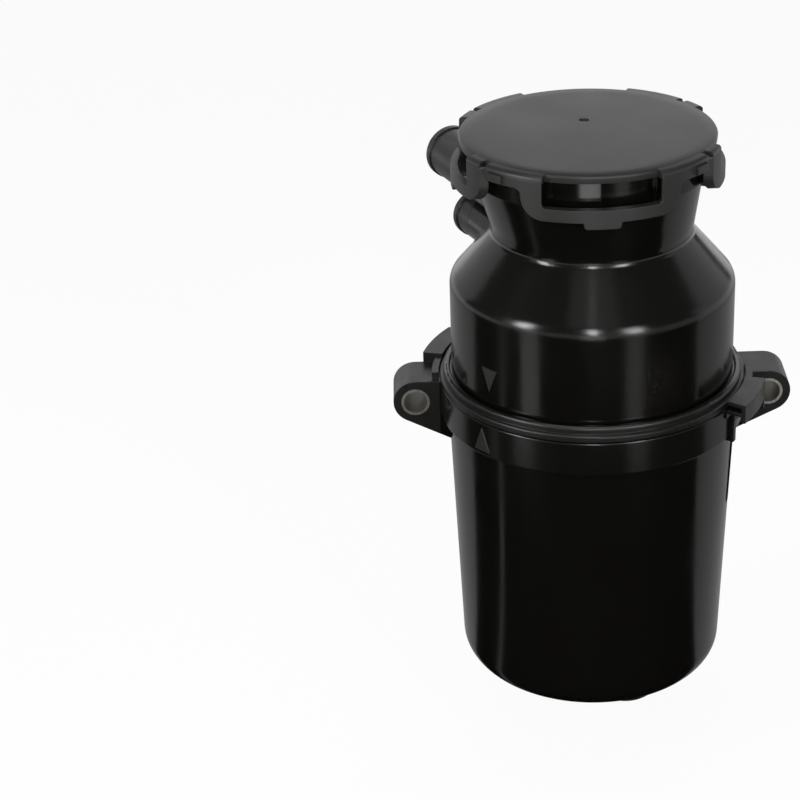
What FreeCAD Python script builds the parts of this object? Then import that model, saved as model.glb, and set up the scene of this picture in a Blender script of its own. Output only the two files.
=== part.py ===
import FreeCAD, Part
import math
import os

# Closed crankcase breather: a cup and a bell joined by a bayonet, a service cap on the neck, and a
# pleated element inside. All lengths are millimetres. Heights are measured from the base of the cup,
# and azimuths in degrees from the front (-Y) towards the right (+X). The finished pieces are moved down
# so that the origin lies on the axis of the cup, level with the bolts of the two ears.

# Fits
seat_gap = 0.3
running_gap = 0.05
press_gap = 0.02

# Cup
wall = 3.0
cup_height = 131.5
cup_base_radius = 61.4
cup_base_rounding = 13.5
foot_ring_land = 3.9
foot_ring_step = 1.5
foot_ring_inner_radius = cup_base_radius - cup_base_rounding - foot_ring_land

# Collar at the top of the cup
collar_radius = 70.2
collar_step = 3.6
collar_wall = 3.8
collar_height = 16.3
collar_ledge_rise = 2.0
collar_rounding = 0.8
collar_low = cup_height
collar_top = collar_low + collar_height
collar_ledge = collar_low + collar_ledge_rise
collar_bore_radius = collar_radius - collar_wall
cup_top_radius = collar_radius - collar_step

# Ears with bolt sleeves
ear_bolt_rise = 6.0
ear_bolt_height = collar_low + ear_bolt_rise
ear_bolt_spacing = 164.4
ear_boss_radius = 10.3
ear_front = -3.0
ear_back = 19.0
ear_root_drop = 19.5
ear_skin = 3.0
ear_front_skin = 3.5
sleeve_outer_radius = 6.65
sleeve_bore_radius = 5.4
sleeve_proud = 0.25

# Bell
bell_step = 1.1
bell_height = 50.4
flange_overhang = 0.2
flange_thickness = 3.4
flange_low_rounding = 0.6
flange_top_rounding = 0.9
bead_setback = 1.6
bead_height = 3.6
bead_rounding = 1.6
bead_groove_width = 0.9
bead_groove_depth = 1.8
shoulder_height = 23.2
shoulder_rounding = 7.0
neck_base_radius = 45.0
neck_base_rounding = 4.0
skirt_clearance = 0.4
skirt_end_gap = 2.5
skirt_wall = 5.3
skirt_rounding = 1.0
housing_seal_rise = 6.0
housing_seal_section = 1.5
skirt_radius = collar_bore_radius - skirt_clearance
skirt_low = collar_ledge + skirt_end_gap
housing_seal_height = skirt_low + housing_seal_rise
bell_radius = skirt_radius - bell_step
flange_radius = collar_radius + flange_overhang
flange_low = collar_top + seat_gap
flange_top = flange_low + flange_thickness
bead_radius = flange_radius - bead_setback
bead_top = flange_top + bead_height
shoulder_low = flange_low + bell_height
shoulder_top = shoulder_low + shoulder_height

# Bayonet hoods on the collar and lugs on the bell
hood_mouth = 54.0
hood_end = 76.0
hood_end_wall = 2.5
hood_reach = 10.2
hood_depth = 4.3
hood_end_drop = 5.2
hood_skin = 2.0
hood_sill = 1.6
hood_hollow_span = 7.0
hood_rib = 0.9
hood_rib_reach = 2.0
hood_rib_drop = 14.0
hood_rib_setback = 4.5
hood_rib_span = 2.0
curb_reach = 4.0
curb_rise = 3.3
curb_end = 90.0
lug_thickness = 2.0
lug_end_gap = 1.0
lug_setback = 4.0
lug_stop_gap = 1.5
hood_outer_radius = collar_radius + hood_reach
hood_low = collar_top - hood_depth
hood_slot_top = flange_low + lug_thickness + seat_gap
hood_top = hood_slot_top + hood_skin

# Neck, which leans to the left on its way up
neck_height = 28.4
neck_lean = 2.2
neck_root_rise = 4.0
neck_wall = 2.8
cap_bore_radius = 48.1
cap_bore_lead = 1.6
neck_top_wall = 3.6
band_height = 13.9
band_rise = 1.9
band_low_rounding = 0.5
band_top_rounding = 0.8
band_notch_span = 27.0
ledge_drop = 0.2
ledge_width = 3.5
neck_top_radius = cap_bore_radius + neck_top_wall
band_radius = neck_top_radius + band_rise
band_low = shoulder_top + neck_height
band_top = band_low + band_height
cap_bore_low = band_low - cap_bore_lead
neck_root = shoulder_top + neck_root_rise
ledge_height = shoulder_top - ledge_drop
ledge_bore_radius = neck_base_radius - neck_wall - ledge_width

# Hose stubs
stub_lean = 24.0
stub_wall = 2.6
outlet_end_x = -62.1
outlet_end_y = 69.5
outlet_rise = 12.8
outlet_radius = 12.0
inlet_end_x = -51.6
inlet_end_y = 58.0
inlet_rise = 9.0
inlet_radius = 10.5
stub_bead_rise = 0.6
stub_bead_length = 3.5

# Service cap
cap_turn = 2.0
cap_disc_thickness = 3.5
cap_disc_overhang = 3.4
cap_rim_height = 1.9
cap_rim_rounding = 1.4
cap_border = 5.5
cap_border_rounding = 8.0
cap_plug_end_gap = 2.0
cap_plug_clearance = 0.5
cap_plug_wall = 4.0
cap_seal_rise = 5.5
cap_seal_section = 1.5
loop_gap = 3.9
loop_thickness = 3.5
loop_half_span = 34.0
loop_top_drop = 2.4
loop_bar_height = 5.7
loop_corner = 9.0
post_corner = 0.8
window_half_span = 24.8
window_corner = 1.6
tongue_half_span = 7.5
tongue_drop = 2.9
hook_thickness = 1.8
hook_gap = 0.8
hook_span = 24.0
hook_setback = 2.0
lip_end = 52.0
lip_height = 4.4
wing_corner = 3.0
bump_azimuth = 46.0
bump_half_span = 3.6
bump_rise = 1.6
dimple_radius = 2.3
dimple_depth = 0.6
dimple_y = 13.0
cap_disc_low = band_top + seat_gap
cap_top = cap_disc_low + cap_disc_thickness
cap_disc_radius = band_radius + cap_disc_overhang
cap_plug_radius = cap_bore_radius - cap_plug_clearance
cap_plug_low = cap_bore_low + cap_plug_end_gap
cap_seal_height = cap_plug_low + cap_seal_rise
loop_inner_radius = band_radius + loop_gap
loop_outer_radius = loop_inner_radius + loop_thickness
loop_low = band_low - seat_gap - hook_thickness
loop_top = cap_top - loop_top_drop
hook_inner_radius = neck_top_radius + hook_gap
lip_low = loop_top - lip_height
cap_rim_top = cap_disc_low + cap_rim_height

# Triangular marks that show the locked position
mark_azimuth = -48.5
mark_half_width = 4.6
mark_height = 11.2
mark_proud = 0.5
mark_root = 2.0
bell_mark_rise = 6.4
collar_mark_rise = 2.5

# Drain duct, flange and valve
drain_x = 14.0
drain_height = -6.0
duct_front = -44.0
duct_back = 14.0
duct_front_radius = 18.0
duct_back_radius = 24.0
duct_front_height = 12.5
duct_back_height = 5.0
drain_collar_radius = 15.5
drain_block_front = 30.0
drain_face = 60.0
drain_flange_radius = 17.5
drain_passage_radius = 5.0
drain_port_radius = 8.0
drain_port_depth = 16.0
drain_bolt_x = 6.0
drain_bolt_drop = 28.0
drain_boss_radius = 10.3
drain_cage_setback = 1.0
drain_cage_wall = 1.6
drain_crossbar_width = 2.2
drain_disc_thickness = 2.0
drain_disc_travel = 4.0
face_seal_gap = 2.9
face_seal_section = 1.5
face_seal_radius = drain_port_radius + face_seal_gap + face_seal_section

# Filter element
element_floor_gap = 13.5
element_plate = 3.0
element_clearance = 0.5
element_rim_wall = 1.5
element_rim_height = 8.0
element_outlet_radius = 17.5
element_seal_section = 1.2
grip_half_length = 24.0
grip_width = 6.0
grip_height = 13.0
grip_leg = 4.5
core_wall = 2.0
core_window_columns = 6
core_window_rows = 6
core_window_width = 11.0
core_window_height = 24.0
pleats = 30
pleat_thickness = 3.0
pleat_core_gap = 0.7
pleat_wrap_gap = 0.4
wrap_thickness = 1.2
element_low = foot_ring_step + wall + element_floor_gap
element_radius = ledge_bore_radius - element_clearance
element_flange_radius = neck_base_radius - neck_wall - element_clearance
wrap_inner_radius = element_radius - element_rim_wall - seat_gap - wrap_thickness
core_outer_radius = element_outlet_radius + core_wall

# Bypass valve in the lower end cap
bypass_seat_radius = 8.0
bypass_tube_gap = 1.9
bypass_tube_wall = 2.6
bypass_tube_height = 26.0
poppet_gap = 2.0
poppet_thickness = 2.5
poppet_rounding = 0.5
poppet_stem_radius = 3.0
poppet_stem_overrun = 3.0
retainer_thickness = 2.5
retainer_ledge = 1.0
retainer_rim = 2.2
retainer_hub_wall = 3.6
retainer_spoke_width = 3.0
retainer_spokes = 3
spring_stem_gap = 1.65
spring_wire = 1.1
spring_turns = 4.5
bypass_tube_bore = element_outlet_radius - bypass_tube_gap - bypass_tube_wall
poppet_radius = bypass_tube_bore - poppet_gap
retainer_hub_radius = poppet_stem_radius + retainer_hub_wall
spring_radius = poppet_stem_radius + spring_stem_gap + spring_wire / 2

UP = FreeCAD.Vector(0, 0, 1)
BACK = FreeCAD.Vector(0, 1, 0)
ORIGIN = FreeCAD.Vector(0, 0, 0)
QUARTERS = (0, 90, 180, 270)


def at(x, y, z):
    return FreeCAD.Vector(x, y, z)


def on_azimuth(radius, azimuth, height):
    """Point at a radius, azimuth and height."""
    angle = math.radians(azimuth)
    return at(radius * math.sin(angle), -radius * math.cos(angle), height)


def rounded_wire(corners):
    """Closed wire through (point, radius) corners, with a tangent arc at each corner that has a radius."""
    arcs = []
    count = len(corners)
    for index, (corner, radius) in enumerate(corners):
        back = (corners[index - 1][0] - corner).normalize()
        ahead = (corners[(index + 1) % count][0] - corner).normalize()
        if radius == 0:
            arcs.append((corner, None, corner))
            continue
        half = back.getAngle(ahead) / 2
        inward = (back + ahead).normalize()
        reach = radius / math.tan(half)
        middle = corner + inward * (radius / math.sin(half) - radius)
        arcs.append((corner + back * reach, middle, corner + ahead * reach))
    edges = []
    for index, (start, middle, end) in enumerate(arcs):
        if middle is not None:
            edges.append(Part.Arc(start, middle, end).toShape())
        edges.append(Part.makeLine(end, arcs[(index + 1) % count][0]))
    return Part.Wire(edges)


def turned(outline):
    """Solid turned about Z from (radius, height) or (radius, height, rounding) corners."""
    corners = [(at(corner[0], 0, corner[1]), corner[2] if len(corner) > 2 else 0) for corner in outline]
    return Part.Face(rounded_wire(corners)).revolve(ORIGIN, UP, 360)


def ring(inner, outer, low, high):
    return turned([(inner, low), (outer, low), (outer, high), (inner, high)])


def sector(inner, outer, low, high, start, end):
    """Piece of a ring between two azimuths."""
    tall = high - low
    piece = Part.makeCylinder(outer, tall, at(0, 0, low), UP, end - start)
    piece = piece.cut(Part.makeCylinder(inner, tall, at(0, 0, low)))
    return piece.rotated(ORIGIN, UP, start - 90)


def spun(shape, angle):
    return shape.rotated(ORIGIN, UP, angle)


def along_y(radius, x, z, front, back):
    return Part.makeCylinder(radius, back - front, at(x, front, z), BACK)


def mirrored_in_x(shape):
    return shape.mirror(ORIGIN, at(1, 0, 0))


def cup_wall_radius(height):
    """Outer radius of the tapered cup at a height."""
    return cup_base_radius + (cup_top_radius - cup_base_radius) * height / collar_low


def ear_outline():
    """Side outline of the right ear without its boss: flat top, lower edge tangent to the boss."""
    centre = at(ear_bolt_spacing / 2, 0, ear_bolt_height)
    root_height = ear_bolt_height - ear_root_drop
    root = at(cup_wall_radius(root_height), 0, root_height)
    way = centre - root
    turn = math.atan2(way.z, way.x) - math.asin(ear_boss_radius / way.Length)
    tangent = math.sqrt(way.Length ** 2 - ear_boss_radius ** 2)
    slope = at(math.cos(turn), 0, math.sin(turn))
    foot = root - slope * wall
    top = ear_bolt_height + ear_boss_radius
    corners = [at(foot.x, 0, top), at(centre.x, 0, top), centre, root + slope * tangent, foot]
    return Part.Face(Part.makePolygon(corners + corners[:1]))


def ear(cup):
    """Right ear: boss and plate, hollowed from the back."""
    length = ear_back - ear_front
    outline = ear_outline()
    plate = outline.extrude(at(0, length, 0)).translated(at(0, ear_front, 0))
    boss = along_y(ear_boss_radius, ear_bolt_spacing / 2, ear_bolt_height, ear_front, ear_back)
    pocket = outline.makeOffset2D(-ear_skin).extrude(at(0, length, 0))
    pocket = pocket.translated(at(0, ear_front + ear_front_skin, 0))
    kept_boss = along_y(
        ear_boss_radius - sleeve_proud, ear_bolt_spacing / 2, ear_bolt_height, ear_front, ear_back + length
    )
    return plate.cut(pocket.cut([kept_boss, cup])).fuse(boss)


def hood():
    """Right bayonet hood: flat roof over a slot that opens at the mouth, with two hollows under its sill."""
    inside = hood_outer_radius - hood_skin
    roof_edge = flange_radius + 2 * seat_gap
    slot_end = hood_end - hood_end_wall
    body = sector(cup_top_radius, hood_outer_radius, hood_low, hood_top, hood_mouth, hood_end)
    end_low = hood_low - hood_end_drop
    end_wall = sector(cup_top_radius, hood_outer_radius, end_low, hood_low, slot_end, hood_end)
    curb = sector(
        cup_top_radius, collar_radius + curb_reach, hood_low, collar_top + curb_rise, hood_end, curb_end
    )
    slot = sector(collar_bore_radius, inside, collar_top, hood_slot_top, hood_mouth - 1, slot_end)
    removed = [slot, sector(bell_radius, roof_edge, collar_top, hood_top + 1, hood_mouth - 1, curb_end + 1)]
    hollow_width = (inside - collar_radius - 2 * hood_rib) / 2
    for inner in (collar_radius + hood_rib, inside - hollow_width):
        removed.append(
            sector(
                inner, inner + hollow_width, hood_low - 1, collar_top - hood_sill, hood_mouth - 1,
                hood_mouth + hood_hollow_span,
            )
        )
    rib_start = hood_mouth + hood_rib_setback
    rib = sector(
        cup_top_radius - wall, collar_radius + hood_rib_reach, hood_low - hood_rib_drop, hood_low, rib_start,
        rib_start + hood_rib_span,
    )
    return body.fuse([end_wall, curb, rib]).cut(removed)


def cup_form():
    """Outer form of the cup with its collar, without ears, hoods or drain."""
    return turned(
        [
            (0, foot_ring_step),
            (foot_ring_inner_radius, foot_ring_step, foot_ring_step / 3),
            (foot_ring_inner_radius, 0, foot_ring_step / 3),
            (cup_base_radius, 0, cup_base_rounding),
            (cup_top_radius, collar_low),
            (collar_radius, collar_low, collar_rounding),
            (collar_radius, collar_top, collar_rounding),
            (0, collar_top),
        ]
    )


def cup_room():
    """Inside of the cup and the bore of its collar."""
    floor = foot_ring_step + wall
    return turned(
        [
            (0, floor),
            (cup_base_radius - wall, floor, cup_base_rounding - wall),
            (cup_top_radius - wall, collar_ledge),
            (collar_bore_radius, collar_ledge),
            (collar_bore_radius, collar_top + 1),
            (0, collar_top + 1),
        ]
    )


def duct(skin):
    """Tapered half-round duct under the cup, thinned by skin."""
    sections = []
    for y, height, radius in (
        (duct_front + skin, duct_front_height, duct_front_radius - skin),
        (duct_back - skin, duct_back_height, duct_back_radius - skin),
    ):
        sections.append(Part.Wire(Part.makeCircle(radius, at(drain_x, y, height), BACK)))
    return Part.makeLoft(sections, True, True)


def drain_flange():
    """Flange block: two round ends joined by tangent sides, square to Y."""
    port = at(drain_x, 0, drain_height)
    bolt = at(drain_bolt_x, 0, drain_height - drain_bolt_drop)
    way = bolt - port
    lean = math.acos((drain_flange_radius - drain_boss_radius) / way.Length)
    heading = math.atan2(way.z, way.x)
    sides = []
    for turn in (heading - lean, heading + lean):
        outward = at(math.cos(turn), 0, math.sin(turn))
        sides.append((port + outward * drain_flange_radius, bolt + outward * drain_boss_radius))
    corners = [sides[0][0], sides[0][1], bolt, sides[1][1], sides[1][0], port]
    web = Part.Face(Part.makePolygon(corners + corners[:1]))
    depth = drain_face - drain_block_front
    block = web.extrude(at(0, depth, 0)).translated(at(0, drain_block_front, 0))
    ends = [
        along_y(drain_flange_radius, port.x, port.z, drain_block_front, drain_face),
        along_y(drain_boss_radius, bolt.x, bolt.z, drain_block_front, drain_face),
    ]
    return block.fuse(ends)


def triangle_mark(radius, low, pointing_up):
    """Flat triangular prism that stands slightly proud of a wall."""
    high = low + mark_height
    tip, base = (high, low) if pointing_up else (low, high)
    centre = on_azimuth(1, mark_azimuth, 0)
    side = on_azimuth(mark_half_width, mark_azimuth + 90, 0)
    start = centre * (radius - mark_root)
    corners = [start + UP * tip, start + side + UP * base, start - side + UP * base]
    face = Part.Face(Part.makePolygon(corners + corners[:1]))
    block = face.extrude(centre * (mark_root + mark_proud))
    return block.common(Part.makeCylinder(radius + mark_proud, mark_height, at(0, 0, low)))


def lower_housing():
    """Cup with collar, ears, hoods, drain duct and drain flange, moulded in one piece."""
    form = cup_form()
    right_ear = ear(form)
    right_hood = hood()
    drain_collar = along_y(drain_collar_radius, drain_x, drain_height, duct_back - wall, drain_block_front)
    mark = triangle_mark(collar_radius, collar_low + collar_mark_rise, True)
    added = [
        right_ear, mirrored_in_x(right_ear), right_hood, spun(right_hood, 180), duct(0), drain_collar,
        drain_flange(), mark,
    ]
    ear_bore = along_y(
        sleeve_outer_radius + press_gap, ear_bolt_spacing / 2, ear_bolt_height, ear_front - 1, ear_back + 1
    )
    drain_bore = along_y(
        sleeve_outer_radius + press_gap, drain_bolt_x, drain_height - drain_bolt_drop, drain_block_front - 1,
        drain_face + 1,
    )
    port = along_y(drain_port_radius, drain_x, drain_height, drain_face - drain_port_depth, drain_face + 1)
    passage = along_y(drain_passage_radius, drain_x, drain_height, duct_back - 2 * wall, drain_face)
    seal = 2 * face_seal_section + 2 * running_gap
    groove = along_y(
        face_seal_radius + seal / 2, drain_x, drain_height, drain_face - seal, drain_face + 1
    ).cut(along_y(face_seal_radius - seal / 2, drain_x, drain_height, drain_face - seal, drain_face + 1))
    room = cup_room()
    removed = [room, duct(wall), ear_bore, mirrored_in_x(ear_bore), drain_bore, port, passage, groove]
    return form.fuse(added).cut(removed).removeSplitter()


def sleeve(x, z, front, back):
    """Steel tube that takes the clamping load of a bolt."""
    outer = along_y(sleeve_outer_radius, x, z, front, back)
    return outer.cut(along_y(sleeve_bore_radius, x, z, front - 1, back + 1))


def ear_sleeve(side):
    """Sleeve of one ear, slightly proud of the plastic at both ends."""
    x = side * ear_bolt_spacing / 2
    return sleeve(x, ear_bolt_height, ear_front - sleeve_proud, ear_back + sleeve_proud)


def stub_axis():
    """Level direction of both hose stubs, backwards and leaning to the left."""
    lean = math.radians(stub_lean)
    return at(-math.sin(lean), math.cos(lean), 0)


def stub(end, radius):
    """Hose stub from the point nearest the axis of the bell to its beaded end."""
    way = stub_axis()
    length = end.dot(way)
    tube = Part.makeCylinder(radius, length, end - way * length, way)
    bead = Part.makeCylinder(radius + stub_bead_rise, stub_bead_length, end - way * stub_bead_length, way)
    bead = bead.makeChamfer(stub_bead_rise / 2, bead.Edges)
    return tube.fuse(bead)


def stub_bore(end, radius):
    way = stub_axis()
    length = end.dot(way)
    return Part.makeCylinder(radius - stub_wall, length + 1, end - way * length, way)


def on_neck(shape):
    """Moves a piece made on the axis of the bell to the axis of the neck's top."""
    return shape.translated(at(-neck_lean, 0, 0))


def leaning_cone(low_radius, low, high_radius, high):
    """Cone from a circle on the axis of the bell to one on the axis of the neck's top."""
    circles = [
        Part.Wire(Part.makeCircle(low_radius, at(0, 0, low))),
        Part.Wire(Part.makeCircle(high_radius, at(-neck_lean, 0, high))),
    ]
    return Part.makeLoft(circles, True, True)


def bell_form():
    """Outer form of the bell from its skirt to the band round the leaning neck."""
    groove_radius = bell_radius + bead_groove_width
    root_radius = neck_base_radius + (neck_top_radius - neck_base_radius) * neck_root_rise / neck_height
    body = turned(
        [
            (0, skirt_low),
            (skirt_radius, skirt_low, skirt_rounding),
            (skirt_radius, flange_low),
            (flange_radius, flange_low, flange_low_rounding),
            (flange_radius, flange_top, flange_top_rounding),
            (bead_radius, flange_top),
            (bead_radius, bead_top, bead_rounding),
            (groove_radius, bead_top, bead_rounding / 2),
            (groove_radius, bead_top - bead_groove_depth),
            (bell_radius, bead_top - bead_groove_depth),
            (bell_radius, shoulder_low, shoulder_rounding),
            (neck_base_radius, shoulder_top, neck_base_rounding),
            (root_radius, neck_root),
            (0, neck_root),
        ]
    )
    neck = leaning_cone(root_radius, neck_root, neck_top_radius, band_low)
    band = turned(
        [
            (0, band_low),
            (band_radius, band_low, band_low_rounding),
            (band_radius, band_top, band_top_rounding),
            (0, band_top),
        ]
    )
    return body.fuse([neck, on_neck(band)])


def bell_room():
    """Inside of the bell: skirt bore, raw-gas room, ledge for the element and the neck above it."""
    run = bell_radius - neck_base_radius
    rise = shoulder_top - shoulder_low
    slant = math.hypot(run, rise)
    inner = bell_radius - wall
    drop = wall * slant / run
    shoulder_inner_low = shoulder_low - drop + rise / run * (bell_radius - inner)
    ledge_low = ledge_height - wall
    skirt_bore = skirt_radius - skirt_wall
    ledge_outer = inner - (ledge_low - shoulder_inner_low) * run / rise
    body = turned(
        [
            (0, skirt_low - 1),
            (skirt_bore, skirt_low - 1),
            (skirt_bore, collar_top),
            (inner, collar_top + wall),
            (inner, shoulder_inner_low, shoulder_rounding / 2),
            (ledge_outer, ledge_low),
            (ledge_bore_radius, ledge_low),
            (ledge_bore_radius, ledge_height),
            (0, ledge_height),
        ]
    )
    neck = leaning_cone(neck_base_radius - neck_wall, ledge_height, cap_bore_radius, cap_bore_low)
    cap_bore = Part.makeCylinder(cap_bore_radius, band_top + 1 - cap_bore_low, at(0, 0, cap_bore_low))
    return body.fuse([neck, on_neck(cap_bore)])


def upper_housing():
    """Bell with bayonet lugs, notched band for the cap and two hose stubs, moulded in one piece."""
    outlet_end = at(outlet_end_x, outlet_end_y, shoulder_top + outlet_rise)
    inlet_end = at(inlet_end_x, inlet_end_y, shoulder_low + inlet_rise)
    lug = sector(
        bead_radius, hood_outer_radius - hood_skin - lug_end_gap, flange_low, flange_low + lug_thickness,
        hood_mouth + lug_setback, hood_end - hood_end_wall - lug_stop_gap,
    )
    mark = triangle_mark(bell_radius, bead_top + bell_mark_rise, False)
    added = [lug, spun(lug, 180), stub(outlet_end, outlet_radius), stub(inlet_end, inlet_radius), mark]
    seal_low = housing_seal_height - housing_seal_section - running_gap
    seal_high = housing_seal_height + housing_seal_section + running_gap
    groove_radius = collar_bore_radius - seat_gap - 2 * housing_seal_section - running_gap
    removed = [
        bell_room(), stub_bore(outlet_end, outlet_radius), stub_bore(inlet_end, inlet_radius),
        ring(groove_radius, collar_bore_radius, seal_low, seal_high),
    ]
    for quarter in QUARTERS:
        start = quarter + cap_turn
        notch = sector(
            neck_top_radius, band_radius + 1, band_low, band_top + 1, start, start + band_notch_span
        )
        removed.append(on_neck(notch))
    return bell_form().fuse(added).cut(removed).removeSplitter()


def front_prism(outline, reach):
    """Solid with a front outline of (x, height, rounding) corners, extruded from the axis to the front."""
    corners = [(at(x, 0, height), rounding) for x, height, rounding in outline]
    return Part.Face(rounded_wire(corners)).extrude(at(0, -reach, 0))


def loop_outline(winged):
    """Front outline of a gripping loop, which may run out on both sides into a lip under the rim."""
    half = loop_outer_radius * math.sin(math.radians(loop_half_span))
    wing = loop_outer_radius * math.sin(math.radians(lip_end))
    window = loop_outer_radius * math.sin(math.radians(window_half_span))
    tongue = loop_outer_radius * math.sin(math.radians(tongue_half_span))
    tongue_low = loop_low - tongue_drop
    right = [
        (tongue, tongue_low, tongue_drop / 2),
        (tongue, loop_low, tongue_drop / 4),
        (half, loop_low, loop_corner),
    ]
    if winged:
        right += [(half, lip_low, wing_corner), (wing, lip_low, post_corner), (wing, loop_top, post_corner)]
    else:
        right += [(half, loop_top, post_corner)]
    right += [(window, loop_top, post_corner), (window, loop_low + loop_bar_height, window_corner)]
    left = [(-x, height, rounding) for x, height, rounding in reversed(right)]
    return right + left


def cap_loop(winged):
    """Front gripping loop: bar on two posts, open above, with a thumb tongue and an inward hook."""
    loop = front_prism(loop_outline(winged), loop_outer_radius)
    loop = loop.common(ring(loop_inner_radius, loop_outer_radius, loop_low - tongue_drop, loop_top))
    hook_end = -hook_setback
    hook_start = hook_end - hook_span
    hook = sector(
        hook_inner_radius, loop_inner_radius + 1, loop_low, band_low - seat_gap, hook_start, hook_end
    )
    reach = lip_end if winged else loop_half_span
    webs = []
    for side in (-1, 1):
        edges = sorted((side * window_half_span, side * reach))
        webs.append(
            sector(cap_disc_radius - 1, loop_inner_radius + 1, cap_disc_low, loop_top, *edges)
        )
    return loop.fuse([hook] + webs)


def lip_bump():
    """Small bump on the lip at the right of the front loop."""
    return sector(
        loop_inner_radius, loop_outer_radius + bump_rise, lip_low + bump_rise / 2, loop_top,
        bump_azimuth - bump_half_span, bump_azimuth + bump_half_span,
    )


def service_cap():
    """Flat cap with a sealing plug and four gripping loops, moulded in one piece."""
    body = turned(
        [
            (0, cap_disc_low),
            (cap_plug_radius - cap_plug_wall, cap_disc_low),
            (cap_plug_radius - cap_plug_wall, cap_plug_low),
            (cap_plug_radius, cap_plug_low, cap_plug_wall / 5),
            (cap_plug_radius, cap_disc_low),
            (cap_disc_radius, cap_disc_low),
            (cap_disc_radius, cap_rim_top, cap_rim_rounding),
            (cap_disc_radius - cap_border, cap_top, cap_border_rounding),
            (0, cap_top),
        ]
    )
    seal_low = cap_seal_height - cap_seal_section - running_gap
    seal_high = cap_seal_height + cap_seal_section + running_gap
    groove_radius = cap_bore_radius - seat_gap - 2 * cap_seal_section - running_gap
    dimple = Part.makeCylinder(dimple_radius, dimple_depth, at(0, dimple_y, cap_top - dimple_depth))
    added = []
    for quarter in QUARTERS:
        added.append(spun(cap_loop(winged=quarter % 180 == 0), quarter))
    for bump in (lip_bump(), mirrored_in_x(lip_bump())):
        added += [bump, spun(bump, 180)]
    removed = [ring(groove_radius, cap_bore_radius, seal_low, seal_high), dimple]
    cap = body.fuse(added).cut(removed).removeSplitter()
    return on_neck(spun(cap, cap_turn))


def ring_seal(seat_radius, section, height):
    """Ring of round section whose outer side lies a seat gap inside the bore that it seals."""
    return Part.makeTorus(seat_radius - seat_gap - section, section, at(0, 0, height))


def drain_flange_seal():
    """Ring seal lying in the face groove of the drain flange."""
    depth = face_seal_section + 2 * running_gap
    centre = at(drain_x, drain_face - depth, drain_height)
    return Part.makeTorus(face_seal_radius, face_seal_section, centre, BACK)


def drain_disc_front():
    """Depth of the closed check disc, just clear of its seat."""
    return drain_face - drain_port_depth + seat_gap


def drain_valve_disc():
    """Loose check disc in front of its seat in the drain port."""
    front = drain_disc_front()
    return along_y(drain_port_radius - seat_gap, drain_x, drain_height, front, front + drain_disc_thickness)


def drain_valve_cage():
    """Ring with a crossbar, pressed into the drain port where it stops the open disc."""
    front = drain_disc_front() + drain_disc_thickness + drain_disc_travel + seat_gap
    back = drain_face - drain_cage_setback
    outer = along_y(drain_port_radius - press_gap, drain_x, drain_height, front, back)
    hole = along_y(drain_port_radius - drain_cage_wall, drain_x, drain_height, front - 1, back + 1)
    bar = Part.makeBox(
        2 * drain_port_radius, back - front, drain_crossbar_width,
        at(drain_x - drain_port_radius, front, drain_height - drain_crossbar_width / 2),
    )
    return outer.cut(hole).fuse(bar.common(outer)).removeSplitter()


def element_top():
    """Height of the underside of the element's flange."""
    return ledge_height


def element_bottom_cap():
    """Lower end cap: plate with rim, bypass seat and the tube that carries the bypass valve."""
    plate_top = element_low + element_plate
    tube_top = plate_top + bypass_tube_height
    ledge = tube_top - retainer_thickness
    tube_outer = bypass_tube_bore + bypass_tube_wall
    return turned(
        [
            (bypass_seat_radius, element_low),
            (element_radius, element_low),
            (element_radius, plate_top + element_rim_height, 0.6),
            (element_radius - element_rim_wall, plate_top + element_rim_height, 0.6),
            (element_radius - element_rim_wall, plate_top),
            (tube_outer, plate_top),
            (tube_outer, tube_top),
            (bypass_tube_bore + retainer_ledge, tube_top),
            (bypass_tube_bore + retainer_ledge, ledge),
            (bypass_tube_bore, ledge),
            (bypass_tube_bore, plate_top),
            (bypass_seat_radius, plate_top),
        ]
    )


def element_seal_radius():
    """Middle radius of the element's seal, halfway across the ledge that it lies on."""
    return (ledge_bore_radius + element_flange_radius) / 2


def element_top_cap():
    """Upper end cap: flange on the ledge of the neck, rim round the medium and a pull bar."""
    low = element_top()
    high = low + element_plate
    body = turned(
        [
            (element_outlet_radius, low),
            (element_radius - element_rim_wall, low),
            (element_radius - element_rim_wall, low - element_rim_height, 0.6),
            (element_radius, low - element_rim_height, 0.6),
            (element_radius, low),
            (element_flange_radius, low),
            (element_flange_radius, high, 0.8),
            (element_outlet_radius, high),
        ]
    )
    bar = Part.makeBox(
        2 * grip_half_length, grip_width, grip_height, at(-grip_half_length, -grip_width / 2, high)
    )
    hand_gap = Part.makeBox(
        2 * (grip_half_length - grip_leg), grip_width, grip_height - grip_leg,
        at(grip_leg - grip_half_length, -grip_width / 2, high),
    )
    half = element_seal_section + running_gap
    groove = ring(element_seal_radius() - half, element_seal_radius() + half, low - 1, low + 2 * half)
    return body.fuse(bar.cut(hand_gap)).cut(groove).removeSplitter()


def element_seal_ring():
    height = element_top() + element_seal_section + running_gap
    return Part.makeTorus(element_seal_radius(), element_seal_section, at(0, 0, height))


def element_core():
    """Inner support tube with rows of rectangular windows."""
    low = element_low + element_plate
    high = element_top()
    tube = ring(element_outlet_radius, core_outer_radius, low, high)
    pitch = (high - low) / core_window_rows
    reach = core_outer_radius + 1
    windows = []
    for row in range(core_window_rows):
        base = low + pitch * (row + 0.5) - core_window_height / 2
        for column in range(core_window_columns):
            corner = at(-core_window_width / 2, 0, base)
            window = Part.makeBox(core_window_width, reach, core_window_height, corner)
            windows.append(spun(window, 360 / core_window_columns * column))
    return tube.cut(windows)


def pleat_line(tip, valley, height):
    """Closed zigzag wire that touches two radii in turn."""
    points = []
    for step in range(2 * pleats):
        radius = tip if step % 2 == 0 else valley
        points.append(on_azimuth(radius, 180 / pleats * step, height))
    return Part.makePolygon(points + points[:1])


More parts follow.
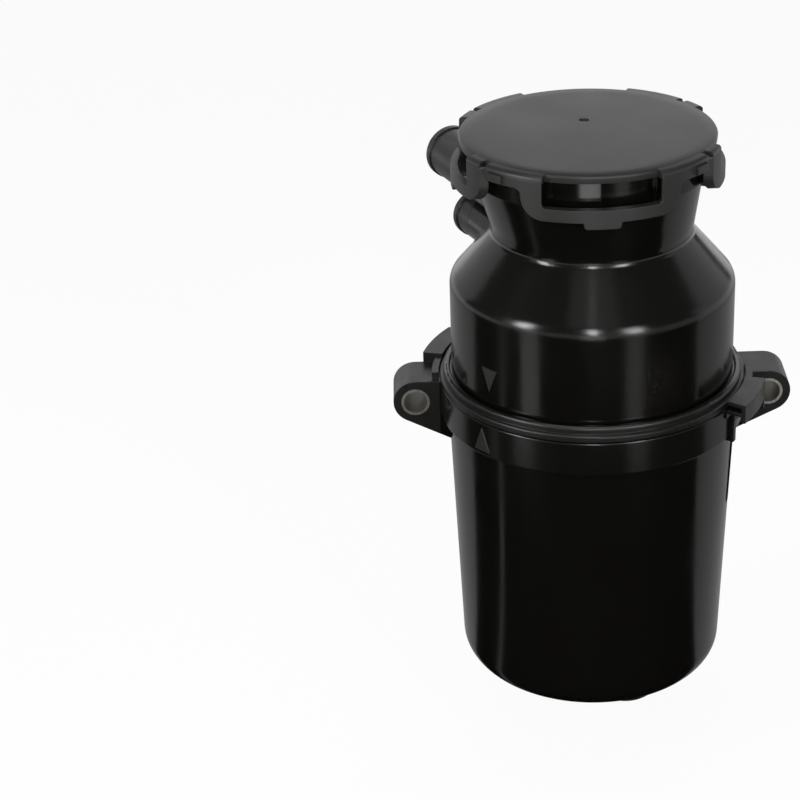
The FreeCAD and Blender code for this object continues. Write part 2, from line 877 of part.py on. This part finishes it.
def filter_media():
    """Pleated sheet closed into a ring between the two end caps."""
    low = element_low + element_plate
    tip = wrap_inner_radius - pleat_wrap_gap
    valley = core_outer_radius + pleat_core_gap
    outer = pleat_line(tip, valley + pleat_thickness, low)
    inner = pleat_line(tip - pleat_thickness, valley, low)
    return Part.Face([outer, inner]).extrude(UP * (element_top() - low))


def element_wrap():
    """Drainage sleeve round the pleats."""
    low = element_low + element_plate
    return ring(wrap_inner_radius, wrap_inner_radius + wrap_thickness, low, element_top())


def bypass_seat_height():
    return element_low + element_plate + seat_gap


def retainer_low():
    return element_low + element_plate + bypass_tube_height - retainer_thickness


def bypass_poppet():
    """Valve plate on a stem that slides in the hub of the retainer."""
    low = bypass_seat_height()
    stem_top = retainer_low() + retainer_thickness + poppet_stem_overrun
    return turned(
        [
            (0, low),
            (poppet_radius, low, poppet_rounding),
            (poppet_radius, low + poppet_thickness, poppet_rounding),
            (poppet_stem_radius, low + poppet_thickness),
            (poppet_stem_radius, stem_top, poppet_rounding),
            (0, stem_top),
        ]
    )


def bypass_retainer():
    """Spoked guide that rests on the ledge of the valve tube."""
    low = retainer_low()
    high = low + retainer_thickness
    rim_radius = bypass_tube_bore + retainer_ledge - running_gap
    rim = ring(rim_radius - retainer_rim, rim_radius, low, high)
    hub_bore = poppet_stem_radius + running_gap
    hub = ring(hub_bore, retainer_hub_radius, low, high)
    spokes = []
    for index in range(retainer_spokes):
        spoke = Part.makeBox(
            retainer_spoke_width, rim_radius - retainer_rim / 2 - poppet_stem_radius - 1, retainer_thickness,
            at(-retainer_spoke_width / 2, poppet_stem_radius + 1, low),
        )
        spokes.append(spun(spoke, 360 / retainer_spokes * index))
    return rim.fuse([hub] + spokes).removeSplitter()


def bypass_spring():
    """Coil of square wire between the poppet and the hub of the retainer."""
    low = bypass_seat_height() + poppet_thickness + running_gap
    high = retainer_low() - running_gap
    tall = high - low - spring_wire
    helix = Part.makeHelix(tall / spring_turns, tall, spring_radius)
    half = spring_wire / 2
    corners = [
        at(spring_radius - half, 0, -half), at(spring_radius + half, 0, -half),
        at(spring_radius + half, 0, half), at(spring_radius - half, 0, half),
    ]
    section = Part.makePolygon(corners + corners[:1])
    coil = Part.Wire(helix).makePipeShell([section], True, True)
    return coil.translated(at(0, 0, low + half))


pieces = {
    "lower_housing": lower_housing(),
    "ear_sleeve_left": ear_sleeve(-1),
    "ear_sleeve_right": ear_sleeve(1),
    "drain_sleeve": sleeve(drain_bolt_x, drain_height - drain_bolt_drop, drain_block_front, drain_face),
    "drain_flange_seal": drain_flange_seal(),
    "drain_valve_cage": drain_valve_cage(),
    "drain_valve_disc": drain_valve_disc(),
    "upper_housing": upper_housing(),
    "housing_seal_ring": ring_seal(collar_bore_radius, housing_seal_section, housing_seal_height),
    "service_cap": service_cap(),
    "cap_seal_ring": on_neck(ring_seal(cap_bore_radius, cap_seal_section, cap_seal_height)),
    "element_top_cap": element_top_cap(),
    "element_seal_ring": element_seal_ring(),
    "element_core": element_core(),
    "filter_media": filter_media(),
    "element_wrap": element_wrap(),
    "element_bottom_cap": element_bottom_cap(),
    "bypass_poppet": bypass_poppet(),
    "bypass_spring": bypass_spring(),
    "bypass_retainer": bypass_retainer(),
}

os.makedirs("parts", exist_ok=True)
for name, shape in pieces.items():
    shape.translated(at(0, 0, -ear_bolt_height)).exportStep("parts/" + name + ".step")
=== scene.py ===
"""Looks, studio and camera for the engine breather filter. Lengths are metres in the frame of the part."""

import math

import bpy
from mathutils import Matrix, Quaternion, Vector


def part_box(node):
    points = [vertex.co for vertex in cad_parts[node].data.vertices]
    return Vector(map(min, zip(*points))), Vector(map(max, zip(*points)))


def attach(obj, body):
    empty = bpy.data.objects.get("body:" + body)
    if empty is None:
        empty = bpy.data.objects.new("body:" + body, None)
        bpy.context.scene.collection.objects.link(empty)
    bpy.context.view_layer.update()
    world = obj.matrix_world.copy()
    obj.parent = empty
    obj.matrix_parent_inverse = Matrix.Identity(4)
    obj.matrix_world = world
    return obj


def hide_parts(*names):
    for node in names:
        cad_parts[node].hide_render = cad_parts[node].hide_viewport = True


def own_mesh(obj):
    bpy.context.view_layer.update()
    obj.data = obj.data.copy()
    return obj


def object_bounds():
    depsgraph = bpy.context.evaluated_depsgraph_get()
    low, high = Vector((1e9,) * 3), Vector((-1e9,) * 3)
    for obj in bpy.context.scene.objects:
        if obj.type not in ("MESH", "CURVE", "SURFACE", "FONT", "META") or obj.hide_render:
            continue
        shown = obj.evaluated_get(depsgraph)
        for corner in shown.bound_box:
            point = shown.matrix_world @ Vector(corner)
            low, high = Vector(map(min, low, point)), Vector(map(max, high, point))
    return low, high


# Camera, in the frame of the part
CAMERA_PLACE = Vector((-0.0764, -0.9501, 0.4753))
CAMERA_AIM = Vector((-0.01230, 0.89420, -0.44750))
CAMERA_ROLL = math.radians(-2.171)
CAMERA_LENS = 102.13
CAMERA_SENSOR = 36.0

# Heights, radii and angles at which the finish of the housings changes
COLLAR_LOW = -0.0062
HOOD_RADIUS = 0.0709
BELL_SATIN_RADIUS = 0.0682
BELL_MARK_RADIUS = 0.0652
BELL_MARK_LOW = 0.0230
BELL_MARK_HIGH = 0.0366
COLLAR_MARK_RADIUS = 0.0704
COLLAR_MARK_LOW = -0.0040
COLLAR_MARK_HIGH = 0.0080
MARK_AZIMUTH = math.radians(-48.5)
MARK_REACH = math.radians(6)
COLLAR_GRAIN = 0.22
CREASE_LOW = 0.052
CREASE_HIGH = 0.070
SMUDGE_START = math.radians(11)
SMUDGE_END = math.radians(30)
SMUDGE_LOW = 0.022
SMUDGE_HIGH = 0.045

# Pieces made here. Angles are degrees from the front towards the right, and a crown reaches from CROWN_START
# to its own angle on both sides of its loop.
SWEEP_STEP = 2.0
CAP_CENTRE_X = -0.0022
CAP_TURN = 2.0
CROWN_START = 24.8
SPRING_WIRE = 0.0011
SPRING_TURNS = 4.5
SPRING_SIDES = 12
CROWNS = (
    ("cap_crown_front", 0, 52),
    ("cap_crown_right", 90, 34),
    ("cap_crown_rear", 180, 52),
    ("cap_crown_left", 270, 34),
)

# Colours in linear light
GLOSS_BLACK = (0.0028, 0.0027, 0.0022, 1)
SATIN_BLACK = (0.0065, 0.0064, 0.0060, 1)
DUST_GREY = (0.060, 0.059, 0.056, 1)
SMUDGE_BROWN = (0.0125, 0.0112, 0.0085, 1)
BELL_MARK_GREY = (0.0125, 0.0122, 0.0115, 1)
COLLAR_MARK_GREY = (0.0090, 0.0087, 0.0081, 1)
CAP_CHARCOAL = (0.0140, 0.0139, 0.0132, 1)
CAP_RUBBED = (0.0180, 0.0179, 0.0170, 1)
SLEEVE_STEEL = (0.74, 0.72, 0.67, 1)
SLEEVE_TARNISH = (0.54, 0.51, 0.46, 1)
# Painted shade: colour of the bores of the sleeves, darker to stand in for the shade inside them
SLEEVE_BORE_SHADE = (0.200, 0.190, 0.165, 1)
SPRING_STEEL = (0.50, 0.49, 0.47, 1)
RUBBER_BLACK = (0.012, 0.012, 0.012, 1)
VALVE_GREY = (0.065, 0.065, 0.070, 1)
VALVE_GREY_DARK = (0.050, 0.050, 0.054, 1)
ELEMENT_GREY = (0.040, 0.040, 0.042, 1)
ELEMENT_GREY_DARK = (0.028, 0.028, 0.030, 1)
MEDIA_CREAM = (0.62, 0.56, 0.42, 1)
MEDIA_STAIN = (0.40, 0.32, 0.19, 1)
WRAP_WHITE = (0.66, 0.66, 0.63, 1)
WRAP_SHADE = (0.45, 0.45, 0.43, 1)
FLOOR_WHITE = (0.90, 0.90, 0.90, 1)

# Studio. The spans of the cards are degrees from the camera's side towards the right.
WORLD_LEVEL = 0.10
FLOOR_HALF_WIDTH = 12.0
FLOOR_WHITE_SHARE = 0.93
CARD_LIFT = 0.0005
CARD_REACH = 1.2
CARD_STEPS = 6
BLACK_CARD = (0.002, 0.002, 0.002, 1)
BLACK_SPANS = ((-103, -73.5), (-69.5, 88))
GREY_CARD = (0.36, 0.36, 0.36, 1)
GREY_SPANS = ((-165, -103), (-73.5, -69.5), (88, 165))


class Finish:
    """A procedural material, built node by node in the frame of the part."""

    def __init__(self, name, specular=0.5, metallic=0.0):
        self.material = bpy.data.materials.new(name)
        self.material.use_nodes = True
        self.tree = self.material.node_tree
        self.shader = self.tree.nodes["Principled BSDF"]
        self.shader.inputs["Specular IOR Level"].default_value = specular
        self.shader.inputs["Metallic"].default_value = metallic
        self.place = self.node("ShaderNodeTexCoord").outputs["Object"]
        split = self.node("ShaderNodeSeparateXYZ")
        self.feed(split.inputs[0], self.place)
        self.x, self.y, self.z = split.outputs

    def node(self, kind, **settings):
        made = self.tree.nodes.new(kind)
        for key, value in settings.items():
            setattr(made, key, value)
        return made

    def feed(self, socket, value):
        if isinstance(value, bpy.types.NodeSocket):
            self.tree.links.new(value, socket)
        else:
            socket.default_value = value

    def math(self, operation, first, second=0.0):
        made = self.node("ShaderNodeMath", operation=operation)
        self.feed(made.inputs[0], first)
        self.feed(made.inputs[1], second)
        return made.outputs[0]

    def radius(self):
        """Distance from the axis of the part."""
        across = self.math("MULTIPLY", self.x, self.x)
        along = self.math("MULTIPLY", self.y, self.y)
        return self.math("SQRT", self.math("ADD", across, along))

    def azimuth(self):
        """Angle about the axis from the front towards the right."""
        return self.math("ARCTAN2", self.x, self.math("MULTIPLY", self.y, -1.0))

    def span(self, value, start, end, low=0.0, high=1.0):
        """Value carried from start..end to low..high and held beyond the ends."""
        made = self.node("ShaderNodeMapRange", interpolation_type="SMOOTHSTEP")
        for socket, number in zip(made.inputs, (value, start, end, low, high)):
            self.feed(socket, number)
        return made.outputs[0]

    def above(self, value, limit, blur=0.0002):
        return self.span(value, limit - blur, limit + blur)

    def between(self, value, low, high, blur=0.0002):
        below = self.span(value, high - blur, high + blur, 1, 0)
        return self.math("MULTIPLY", self.above(value, low, blur), below)

    def stretched(self, scale):
        made = self.node("ShaderNodeMapping")
        self.feed(made.inputs["Vector"], self.place)
        made.inputs["Scale"].default_value = scale
        return made.outputs[0]

    def noise(self, scale, detail=3.0, stretch=(1, 1, 1), distortion=0.0):
        made = self.node("ShaderNodeTexNoise")
        self.feed(made.inputs["Vector"], self.stretched(stretch))
        made.inputs["Scale"].default_value = scale
        made.inputs["Detail"].default_value = detail
        made.inputs["Distortion"].default_value = distortion
        return made.outputs[0]

    def mix(self, share, first, second):
        """Colour between two others."""
        made = self.node("ShaderNodeMix", data_type="RGBA")
        self.feed(made.inputs[0], share)
        self.feed(made.inputs[6], first)
        self.feed(made.inputs[7], second)
        return made.outputs[2]

    def level(self, share, first, second):
        """Number between two others."""
        made = self.node("ShaderNodeMix", data_type="FLOAT")
        self.feed(made.inputs[0], share)
        self.feed(made.inputs[2], first)
        self.feed(made.inputs[3], second)
        return made.outputs[0]

    def bump(self, height, depth, under=None):
        made = self.node("ShaderNodeBump")
        made.inputs["Distance"].default_value = depth
        self.feed(made.inputs["Height"], height)
        if under is not None:
            self.feed(made.inputs["Normal"], under)
        return made.outputs[0]

    def soft_edges(self, radius):
        """Normal that is rounded near the edges of the piece."""
        made = self.node("ShaderNodeBevel", samples=4)
        made.inputs["Radius"].default_value = radius
        return made.outputs[0]

    def show(self, colour, roughness, normal=None):
        self.feed(self.shader.inputs["Base Color"], colour)
        self.feed(self.shader.inputs["Roughness"], roughness)
        if normal is not None:
            self.feed(self.shader.inputs["Normal"], normal)
        return self.material


def housing_finish(name, satin, mark, mark_grey, smudge, edges):
    """Moulded black plastic: polished walls, a satin grain on the fittings and pale rubbed marks."""
    look = Finish(name, specular=0.48)
    satin_share = satin(look)
    mark_share = mark(look)
    smudge_share = smudge(look)
    smear = look.noise(38, detail=4, stretch=(1, 1, 0.45), distortion=0.6)
    dust = look.span(look.noise(1500, detail=1), 0.73, 0.80)
    dust = look.math("MULTIPLY", dust, look.span(look.noise(60), 0.5, 0.7))
    polished = look.mix(look.math("MULTIPLY", dust, 0.35), GLOSS_BLACK, DUST_GREY)
    polished = look.mix(smudge_share, polished, SMUDGE_BROWN)
    grained = look.mix(look.span(look.noise(900, detail=2), 0.2, 0.9), SATIN_BLACK, GLOSS_BLACK)
    colour = look.mix(satin_share, polished, grained)
    colour = look.mix(mark_share, colour, mark_grey)
    gloss_roughness = look.span(smear, 0.3, 0.75, 0.12, 0.22)
    gloss_roughness = look.level(smudge_share, gloss_roughness, 0.45)
    satin_roughness = look.span(look.noise(140), 0.3, 0.7, 0.31, 0.36)
    roughness = look.level(satin_share, gloss_roughness, satin_roughness)
    roughness = look.level(mark_share, roughness, 0.5)
    peel = look.bump(look.noise(240, detail=1), 0.000025, edges(look))
    grain = look.math("MULTIPLY", look.noise(2600, detail=2), satin_share)
    return look.show(colour, roughness, look.bump(grain, 0.00008, peel))


def cup_satin(look):
    """Full grain on the hoods and ears, and a lighter one on the collar."""
    collar = look.math("MULTIPLY", look.above(look.z, COLLAR_LOW), COLLAR_GRAIN)
    return look.math("MAXIMUM", collar, look.above(look.radius(), HOOD_RADIUS))


def bell_satin(look):
    return look.above(look.radius(), BELL_SATIN_RADIUS)


def mark_share(look, radius, low, high):
    """Share of the rubbed triangle that stands proud of a wall."""
    turned = look.between(look.azimuth(), MARK_AZIMUTH - MARK_REACH, MARK_AZIMUTH + MARK_REACH, 0.002)
    proud = look.above(look.radius(), radius, 0.00005)
    share = look.math("MULTIPLY", proud, look.between(look.z, low, high))
    share = look.math("MULTIPLY", share, turned)
    return look.math("MULTIPLY", share, look.span(look.noise(900), 0.25, 0.5, 0.55, 1.0))


def cup_edges(look):
    return look.soft_edges(0.0005)


def bell_edges(look):
    """Small roundings, and a broad one where the shoulder meets the wall."""
    share = look.between(look.z, CREASE_LOW, CREASE_HIGH, 0.003)
    made = look.node("ShaderNodeMix", data_type="VECTOR")
    look.feed(made.inputs[0], share)
    look.feed(made.inputs[4], look.soft_edges(0.0006))
    look.feed(made.inputs[5], look.soft_edges(0.0035))
    return made.outputs[1]


def no_smudge(look):
    return 0.0


def bell_smudge(look):
    """Dull wiped patch low on the right of the front, where the gloss is lost."""
    turned = look.between(look.azimuth(), SMUDGE_START, SMUDGE_END, math.radians(9))
    share = look.math("MULTIPLY", turned, look.between(look.z, SMUDGE_LOW, SMUDGE_HIGH, 0.010))
    wiped = look.span(look.noise(900, detail=8), 0.3, 0.8, 0.0, 0.45)
    return look.math("MULTIPLY", share, wiped)


def cup_mark(look):
    return mark_share(look, COLLAR_MARK_RADIUS, COLLAR_MARK_LOW, COLLAR_MARK_HIGH)


def bell_mark(look):
    return mark_share(look, BELL_MARK_RADIUS, BELL_MARK_LOW, BELL_MARK_HIGH)


def cap_finish():
    """Charcoal moulded plastic with an even fine grain and a faint rubbed bloom."""
    look = Finish("cap_charcoal", specular=0.5)
    rubbed = look.span(look.noise(700, detail=3), 0.35, 0.8)
    colour = look.mix(look.math("MULTIPLY", rubbed, 0.5), CAP_CHARCOAL, CAP_RUBBED)
    roughness = look.span(look.noise(30, detail=2), 0.3, 0.7, 0.35, 0.39)
    grain = look.bump(look.noise(3000, detail=2), 0.00006, look.soft_edges(0.0006))
    return look.show(colour, roughness, grain)


def steel_finish(name, colour, tarnish, roughness):
    """Turned steel with fine lines and uneven tarnish."""
    look = Finish(name, metallic=1.0)
    stain = look.span(look.noise(260, detail=4), 0.35, 0.75)
    lines = look.noise(900, detail=2, stretch=(1, 9, 1))
    shine = look.span(lines, 0.3, 0.7, roughness - 0.08, roughness + 0.10)
    return look.show(look.mix(stain, colour, tarnish), shine, look.bump(lines, 0.00001))


def sleeve_finish():
    """Rolled steel sleeve: rubbed bright on its end faces, with shade painted into its bore as a dull,
    darker colour.
    """
    look = Finish("sleeve_steel", metallic=1.0)
    split = look.node("ShaderNodeSeparateXYZ")
    look.feed(split.inputs[0], look.node("ShaderNodeTexCoord").outputs["Normal"])
    # Faces other than the end faces, the bore among them, take a darker colour that is painted shade
    face = look.above(look.math("ABSOLUTE", split.outputs[1]), 0.6, 0.2)
    stain = look.span(look.noise(700, detail=4), 0.35, 0.75)
    rubbed = look.mix(stain, SLEEVE_STEEL, SLEEVE_TARNISH)
    lines = look.noise(900, detail=2, stretch=(1, 9, 1))
    roughness = look.level(face, 0.60, 0.34)
    return look.show(look.mix(face, SLEEVE_BORE_SHADE, rubbed), roughness, look.bump(lines, 0.00001))


def plastic_finish(name, colour, shade, roughness, specular=0.5):
    """Plain moulded plastic with a light grain."""
    look = Finish(name, specular=specular)
    mottle = look.span(look.noise(70, detail=4), 0.3, 0.7)
    shine = look.span(look.noise(160), 0.3, 0.7, roughness - 0.05, roughness + 0.07)
    return look.show(look.mix(mottle, colour, shade), shine, look.bump(look.noise(2200), 0.00004))


def fleece_finish(name, colour, shade, fibre_scale):
    """Matted fibres with stains."""
    look = Finish(name, specular=0.2)
    fibres = look.noise(fibre_scale, detail=6, stretch=(1, 1, 0.25), distortion=1.2)
    patches = look.span(look.noise(30, detail=4), 0.4, 0.8)
    stain = look.math("MULTIPLY", patches, look.span(fibres, 0.2, 0.8))
    return look.show(look.mix(stain, colour, shade), 0.9, look.bump(fibres, 0.0004))


def set_finish(nodes, names, material):
    for name in names:
        mesh = nodes[name].data
        mesh.materials.clear()
        mesh.materials.append(material)


def skin(first, sections, count, ring=False):
    """Faces of a tube: sections of count points each follow one another from the point first.

    A ring closes on itself and any other tube has two end faces.
    """
    faces = []
    for section in range(sections if ring else sections - 1):
        near = first + section * count
        far = first + (section + 1) % sections * count
        for index in range(count):
            following = (index + 1) % count
            faces.append((near + index, far + index, far + following, near + following))
    if not ring:
        last = first + (sections - 1) * count
        faces.append(tuple(range(first, first + count)))
        faces.append(tuple(reversed(range(last, last + count))))
    return faces


def add_piece(name, points, faces, material, body):
    mesh = bpy.data.meshes.new(name)
    mesh.from_pydata(points, [], faces)
    mesh.materials.append(material)
    mesh.shade_smooth()
    mesh.set_sharp_from_angle(angle=math.radians(30))
    piece = bpy.data.objects.new(name, mesh)
    bpy.context.scene.collection.objects.link(piece)
    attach(piece, body)
    return piece


def add_sweep(name, profile, spans, centre_x, material, body):
    """Piece swept about the upright line at centre_x, whose profile is points of radius and height."""
    points = []
    faces = []
    for start, end in spans:
        first = len(points)
        steps = max(1, round((end - start) / SWEEP_STEP))
        ring = end - start == 360
        sections = steps if ring else steps + 1
        for step in range(sections):
            angle = math.radians(start + (end - start) * step / steps)
            for radius, height in profile:
                points.append((centre_x + radius * math.sin(angle), -radius * math.cos(angle), height))
        faces += skin(first, sections, len(profile), ring)
    return add_piece(name, points, faces, material, body)


def add_spring(material):
    """Coil of round wire in place of the bypass spring and as long as it, riding on the upper body; the real
    spring shortens as the bypass lifts.
    """
    low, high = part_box("bypass_spring")
    half = SPRING_WIRE / 2
    radius = (high[0] - low[0]) / 2 - half
    climb = high[2] - low[2] - SPRING_WIRE
    steps = round(SPRING_TURNS * 36)
    points = []
    for step in range(steps + 1):
        turn = 2 * math.pi * SPRING_TURNS * step / steps
        height = low[2] + half + climb * step / steps
        for side in range(SPRING_SIDES):
            angle = 2 * math.pi * side / SPRING_SIDES
            out = radius + half * math.cos(angle)
            points.append((out * math.cos(turn), out * math.sin(turn), height + half * math.sin(angle)))
    faces = skin(0, steps + 1, SPRING_SIDES)
    coil = add_piece("bypass_coil", points, faces, material, "upper")
    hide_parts("bypass_spring")
    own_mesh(coil)


def add_cap_top(material):
    """Flat rim of the cap and the crowns that bring its loops up flush with the disc."""
    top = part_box("service_cap")[1][2]
    rim = [(0.0460, top - 0.0030), (0.0571, top - 0.0030), (0.0573, top - 0.0010), (0.0569, top - 0.0003),
           (0.0562, top - 0.00005), (0.0500, top - 0.00001), (0.0460, top - 0.0002)]
    add_sweep("cap_rim", rim, [(0, 360)], CAP_CENTRE_X, material, "cap")
    crown = [(0.0520, top - 0.0034), (0.0609, top - 0.0034), (0.0610, top - 0.0018), (0.0607, top - 0.0009),
             (0.0600, top - 0.0003), (0.0590, top - 0.00008), (0.0520, top - 0.00006)]
    for name, turn, reach in CROWNS:
        middle = CAP_TURN + turn
        spans = [(middle - reach, middle - CROWN_START), (middle + CROWN_START, middle + reach)]
        add_sweep(name, crown, spans, CAP_CENTRE_X, material, "cap")


def add_mould_rib(material):
    """Thin upright flash line that runs down the right of the cup under its collar."""
    wall_below = 0.0649
    wall_above = 0.0662
    line = [(wall_below - 0.0008, -0.0500), (wall_below, -0.0500), (wall_below + 0.0005, -0.0480),
            (wall_above + 0.0005, -0.0170), (wall_above, -0.0150), (wall_above - 0.0008, -0.0150)]
    add_sweep("cup_mould_rib", line, [(73.3, 74.1)], 0.0, material, "lower")


def dress(nodes):
    """Finish of every piece of the frame, and the pieces made here."""
    cup = housing_finish("housing_black_cup", cup_satin, cup_mark, COLLAR_MARK_GREY, no_smudge, cup_edges)
    set_finish(nodes, ["lower_housing"], cup)
    bell = housing_finish("housing_black_bell", bell_satin, bell_mark, BELL_MARK_GREY, bell_smudge,
                          bell_edges)
    set_finish(nodes, ["upper_housing"], bell)
    cap = cap_finish()
    set_finish(nodes, ["service_cap"], cap)
    add_cap_top(cap)
    add_mould_rib(cup)
    sleeves = ["ear_sleeve_left", "ear_sleeve_right", "drain_sleeve"]
    set_finish(nodes, sleeves, sleeve_finish())
    wire = steel_finish("spring_steel", SPRING_STEEL, SLEEVE_TARNISH, 0.28)
    set_finish(nodes, ["bypass_spring"], wire)
    add_spring(wire)
    rubber = plastic_finish("seal_rubber", RUBBER_BLACK, SATIN_BLACK, 0.55, 0.3)
    rings = ["housing_seal_ring", "cap_seal_ring", "element_seal_ring", "drain_flange_seal"]
    set_finish(nodes, rings + ["drain_valve_disc"], rubber)
    valve = plastic_finish("valve_plastic", VALVE_GREY, VALVE_GREY_DARK, 0.42)
    set_finish(nodes, ["drain_valve_cage", "bypass_poppet", "bypass_retainer"], valve)
    element = plastic_finish("element_plastic", ELEMENT_GREY, ELEMENT_GREY_DARK, 0.45)
    set_finish(nodes, ["element_top_cap", "element_bottom_cap", "element_core"], element)
    set_finish(nodes, ["filter_media"], fleece_finish("media_fleece", MEDIA_CREAM, MEDIA_STAIN, 700))
    set_finish(nodes, ["element_wrap"], fleece_finish("wrap_fleece", WRAP_WHITE, WRAP_SHADE, 1100))


def floor_finish():
    """White studio floor that keeps a soft shadow."""
    material = bpy.data.materials.new("studio_floor")
    material.use_nodes = True
    tree = material.node_tree
    tree.nodes.clear()
    output = tree.nodes.new("ShaderNodeOutputMaterial")
    diffuse = tree.nodes.new("ShaderNodeBsdfDiffuse")
    diffuse.inputs["Color"].default_value = FLOOR_WHITE
    white = tree.nodes.new("ShaderNodeEmission")
    path = tree.nodes.new("ShaderNodeLightPath")
    seen = path.outputs["Is Camera Ray"]
    for ray in ("Is Glossy Ray", "Is Transmission Ray"):
        either = tree.nodes.new("ShaderNodeMath")
        either.operation = "MAXIMUM"
        tree.links.new(seen, either.inputs[0])
        tree.links.new(path.outputs[ray], either.inputs[1])
        seen = either.outputs[0]
    share = tree.nodes.new("ShaderNodeMath")
    share.operation = "MULTIPLY"
    share.inputs[1].default_value = FLOOR_WHITE_SHARE
    tree.links.new(seen, share.inputs[0])
    mixed = tree.nodes.new("ShaderNodeMixShader")
    tree.links.new(share.outputs[0], mixed.inputs[0])
    tree.links.new(diffuse.outputs[0], mixed.inputs[1])
    tree.links.new(white.outputs[0], mixed.inputs[2])
    tree.links.new(mixed.outputs[0], output.inputs["Surface"])
    return material


def add_floor(height):
    half = FLOOR_HALF_WIDTH
    mesh = bpy.data.meshes.new("studio_floor")
    corners = [(-half, -half, height), (half, -half, height), (half, half, height), (-half, half, height)]
    mesh.from_pydata(corners, [], [(0, 1, 2, 3)])
    mesh.materials.append(floor_finish())
    floor = bpy.data.objects.new("studio_floor", mesh)
    bpy.context.scene.collection.objects.link(floor)


def add_cards(name, height, colour, spans):
    """Cards on the floor, seen only in reflections, that keep its white out of the polished walls."""
    material = bpy.data.materials.new(name)
    material.use_nodes = True
    tree = material.node_tree
    tree.nodes.clear()
    shade = tree.nodes.new("ShaderNodeEmission")
    shade.inputs["Color"].default_value = colour
    output = tree.nodes.new("ShaderNodeOutputMaterial")
    tree.links.new(shade.outputs[0], output.inputs["Surface"])
    points = []
    faces = []
    for start, end in spans:
        first = len(points)
        points.append(Vector((0, 0, height + CARD_LIFT)))
        for step in range(CARD_STEPS + 1):
            azimuth = start + (end - start) * step / CARD_STEPS
            points.append(around(azimuth, CARD_REACH, height + CARD_LIFT))
        faces.append(tuple(range(first, len(points))))
    mesh = bpy.data.meshes.new(name)
    mesh.from_pydata(points, [], faces)
    mesh.materials.append(material)
    card = bpy.data.objects.new(name, mesh)
    for ray in ("camera", "diffuse", "transmission", "shadow"):
        setattr(card, "visible_" + ray, False)
    bpy.context.scene.collection.objects.link(card)


def add_world():
    world = bpy.data.worlds.new("studio_world")
    world.use_nodes = True
    sky = world.node_tree.nodes["Background"]
    sky.inputs["Color"].default_value = (1, 1, 1, 1)
    sky.inputs["Strength"].default_value = WORLD_LEVEL
    bpy.context.scene.world = world


def add_softbox(name, place, aim, width, height, radiance):
    """Rectangular lamp of a given radiance, unseen by the camera."""
    lamp = bpy.data.lights.new(name, "AREA")
    lamp.shape = "RECTANGLE"
    lamp.size = width
    lamp.size_y = height
    lamp.energy = radiance * math.pi * width * height
    box = bpy.data.objects.new(name, lamp)
    box.location = place
    box.rotation_mode = "QUATERNION"
    box.rotation_quaternion = (aim - place).to_track_quat("-Z", "Y")
    box.visible_camera = False
    bpy.context.scene.collection.objects.link(box)


def around(azimuth, distance, height):
    """Point about the axis, with the azimuth counted from the camera's side towards the right."""
    angle = math.radians(azimuth) + math.atan2(CAMERA_PLACE.x, -CAMERA_PLACE.y)
    return Vector((distance * math.sin(angle), -distance * math.cos(angle), height))


def add_lamps(floor_height):
    for name, azimuth, width, low, height, radiance in (
        ("strip_left", -46, 0.09, 0.020, 0.46, 0.85),
        ("strip_middle", 1, 0.10, 0.145, 0.060, 3.0),
        ("strip_right", 32, 0.08, 0.020, 0.46, 0.62),
    ):
        place = around(azimuth, 0.36, floor_height + low + height / 2)
        add_softbox(name, place, Vector((0, 0, place.z)), width, height, radiance)
    middle = Vector((0, 0, 0.02))
    add_softbox("softbox_left", around(-54, 1.3, 0.52), middle, 0.26, 0.70, 15)
    add_softbox("softbox_middle", around(1, 1.3, 0.58), middle, 0.12, 0.70, 22)
    add_softbox("softbox_right", around(33, 1.5, 0.52), middle, 0.32, 0.70, 13)
    add_softbox("softbox_front", around(2, 1.0, 1.55), middle, 1.00, 0.50, 0.28)
    add_softbox("softbox_front_narrow", around(1, 1.0, 1.55), middle, 0.10, 0.50, 1.0)
    add_softbox("softbox_rear", around(180, 0.50, 0.24), middle, 0.9, 0.2, 1.15)
    for name, azimuth, width in (("softbox_side_left", -134, 1.1), ("softbox_side_right", 116, 1.5)):
        add_softbox(name, around(azimuth, 1.5, 0.45), middle, width, 0.9, 0.50)
    add_softbox("softbox_top", Vector((0, 0, 1.8)), middle, 1.2, 1.2, 2.0)


def add_camera():
    camera = bpy.data.cameras.new("photo_camera")
    camera.sensor_width = CAMERA_SENSOR
    camera.lens = CAMERA_LENS
    camera.clip_start = 0.01
    view = bpy.data.objects.new("photo_camera", camera)
    view.location = CAMERA_PLACE
    view.rotation_mode = "QUATERNION"
    view.rotation_quaternion = CAMERA_AIM.to_track_quat("-Z", "Y") @ Quaternion((0, 0, 1), CAMERA_ROLL)
    bpy.context.scene.collection.objects.link(view)
    bpy.context.scene.camera = view


# The part, its finishes and the studio
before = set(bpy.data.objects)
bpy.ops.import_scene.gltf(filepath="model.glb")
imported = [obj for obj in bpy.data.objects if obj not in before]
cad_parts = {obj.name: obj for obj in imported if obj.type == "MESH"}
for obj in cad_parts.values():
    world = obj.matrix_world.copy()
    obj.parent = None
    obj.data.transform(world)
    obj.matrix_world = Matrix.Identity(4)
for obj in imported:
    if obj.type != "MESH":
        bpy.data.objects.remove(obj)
cad_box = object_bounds()
dress(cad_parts)
floor_height = cad_box[0][2]
add_floor(floor_height)
add_cards("black_cards", floor_height, BLACK_CARD, BLACK_SPANS)
add_cards("grey_cards", floor_height, GREY_CARD, GREY_SPANS)
add_world()
add_lamps(floor_height)
add_camera()
bpy.context.scene.view_settings.view_transform = "Standard"
